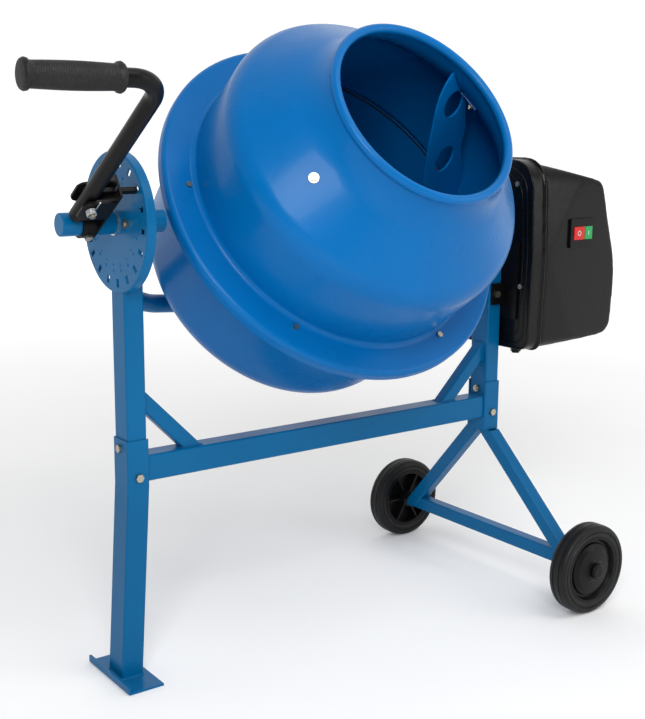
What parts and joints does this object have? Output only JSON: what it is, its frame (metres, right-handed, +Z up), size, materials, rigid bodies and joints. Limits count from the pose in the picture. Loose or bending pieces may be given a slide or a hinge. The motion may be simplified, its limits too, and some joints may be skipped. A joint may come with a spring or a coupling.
{
  "type": "concrete mixer",
  "caption": "Tilting-drum electric concrete mixer: ring-gear drum in a bent-tube cradle, tilt lever with slotted locking disc, tube stand with foot and wheels, boxed motor.",
  "frame": {"origin": "on the floor under the middle of the whole machine's bounding box", "axes": "+X along the stand from the lever post to the motor, -Y towards the side the drum empties to, +Z up"},
  "size_m": [1.4232, 0.6882, 1.1265],
  "materials": {
    "frame_blue": "semi-gloss sprayed blue paint on steel tube",
    "drum_blue": "glossy blue powder coat on pressed sheet",
    "blade_blue": "glossy blue powder coat, worn at the edges",
    "yoke_blue": "glossy blue paint on bent tube",
    "zinc": "yellow zinc plated steel",
    "steel": "bright machined steel",
    "black_paint": "semi-gloss black paint",
    "cast_black": "cast iron, black, greased",
    "motor_alloy": "die-cast alloy",
    "black_gloss": "glossy black moulded plastic",
    "black_matte": "satin black moulded plastic",
    "tyre_black": "solid rubber tyre",
    "belt_rubber": "ribbed rubber belt",
    "grip_rubber": "soft black rubber grip",
    "stop_red": "glossy red plastic",
    "start_green": "glossy green plastic"
  },
  "bodies": {
    "frame": {"left_post": "frame_blue", "right_post": "frame_blue", "frame_bolts": "zinc", "cross_beam": "frame_blue", "corner_braces": "frame_blue", "support_leg": "frame_blue", "foot_plate": "frame_blue", "stand_socket": "frame_blue", "stand_leg_front": "frame_blue", "stand_leg_rear": "frame_blue", "stand_strut": "frame_blue", "wheel_axle": "steel", "axle_caps": "black_matte", "locking_disc": "yoke_blue", "bearing_strap": "zinc", "tilt_bushes": "steel", "drive_belt": "belt_rubber", "motor_body": "motor_alloy", "motor_mount": "steel", "housing_bracket": "black_paint", "housing_back": "black_gloss", "housing_screws": "zinc", "cable_inlet": "black_matte", "housing_cover": "black_gloss", "switch_frame": "black_matte"},
    "cradle": {"trunnion_left": "yoke_blue", "trunnion_cap": "yoke_blue", "yoke_left": "yoke_blue", "yoke_right": "yoke_blue", "spindle_hub": "yoke_blue", "spindle_bearings": "steel", "trunnion_right": "yoke_blue", "shaft_bearings": "steel", "lever_bracket": "black_paint", "bracket_bolt": "zinc", "lever_pivot_pin": "zinc", "lever_spring": "steel"},
    "lever_arm": {"lever": "black_paint", "lever_grip": "grip_rubber"},
    "drum": {"drum_bowl": "drum_blue", "drum_upper": "drum_blue", "ring_gear": "cast_black", "flange_bolts": "zinc", "mixing_blade_front": "blade_blue", "mixing_blade_rear": "blade_blue", "blade_bolts": "zinc", "drum_spindle": "steel", "spindle_fixings": "zinc"},
    "pinion_shaft": {"pinion": "cast_black", "drive_shaft": "steel", "large_pulley": "motor_alloy"},
    "motor_rotor": {"motor_shaft": "steel", "small_pulley": "steel"},
    "front_wheel": {"front_wheel_rim": "black_matte", "front_wheel_tyre": "tyre_black"},
    "rear_wheel": {"rear_wheel_rim": "black_matte", "rear_wheel_tyre": "tyre_black"},
    "start": {"start_button": "start_green"},
    "stop": {"stop_button": "stop_red"}
  },
  "joints": [
    {"name": "tilt", "type": "hinge", "parent": "frame", "child": "cradle", "pos_m": [-0.41261, 0.01738, 0.7895], "axis": [1, 0, 0], "range_deg": [-110, 80]},
    {"name": "drum_spin", "type": "hinge", "parent": "cradle", "child": "drum", "pos_m": [0.00539, 0.01738, 0.7895], "axis": [0, -0.8211, 0.5707], "continuous": true},
    {"name": "pinion_spin", "type": "hinge", "parent": "cradle", "child": "pinion_shaft", "pos_m": [0.32539, 0.01738, 0.7895], "axis": [1, 0, 0], "continuous": true},
    {"name": "motor_spin", "type": "hinge", "parent": "frame", "child": "motor_rotor", "pos_m": [0.49239, 0.01738, 0.6195], "axis": [1, 0, 0], "continuous": true},
    {"name": "lever_pull", "type": "hinge", "parent": "cradle", "child": "lever_arm", "pos_m": [-0.50861, -0.04578, 0.83178], "axis": [0, 0.5563, 0.831], "range_deg": [-8, 0], "stiffness_Nm_per_rad": 6, "springref_deg": 25.78},
    {"name": "front_wheel_spin", "type": "hinge", "parent": "frame", "child": "front_wheel", "pos_m": [0.44039, -0.26112, 0.09], "axis": [0, 1, 0], "continuous": true},
    {"name": "rear_wheel_spin", "type": "hinge", "parent": "frame", "child": "rear_wheel", "pos_m": [0.44039, 0.29588, 0.09], "axis": [0, 1, 0], "continuous": true},
    {"name": "start_press", "type": "slide", "parent": "frame", "child": "start", "axis": [-0.0632, 0.998, 0], "range_m": [0, 0.003], "stiffness_N_per_m": 400, "springref_m": -0.002},
    {"name": "stop_press", "type": "slide", "parent": "frame", "child": "stop", "axis": [-0.0632, 0.998, 0], "range_m": [0, 0.003], "stiffness_N_per_m": 400, "springref_m": -0.002}
  ],
  "couplings": [
    {"joint": "pinion_spin", "follows": "drum_spin", "ratio": -16},
    {"joint": "motor_spin", "follows": "drum_spin", "ratio": -101.82}
  ]
}
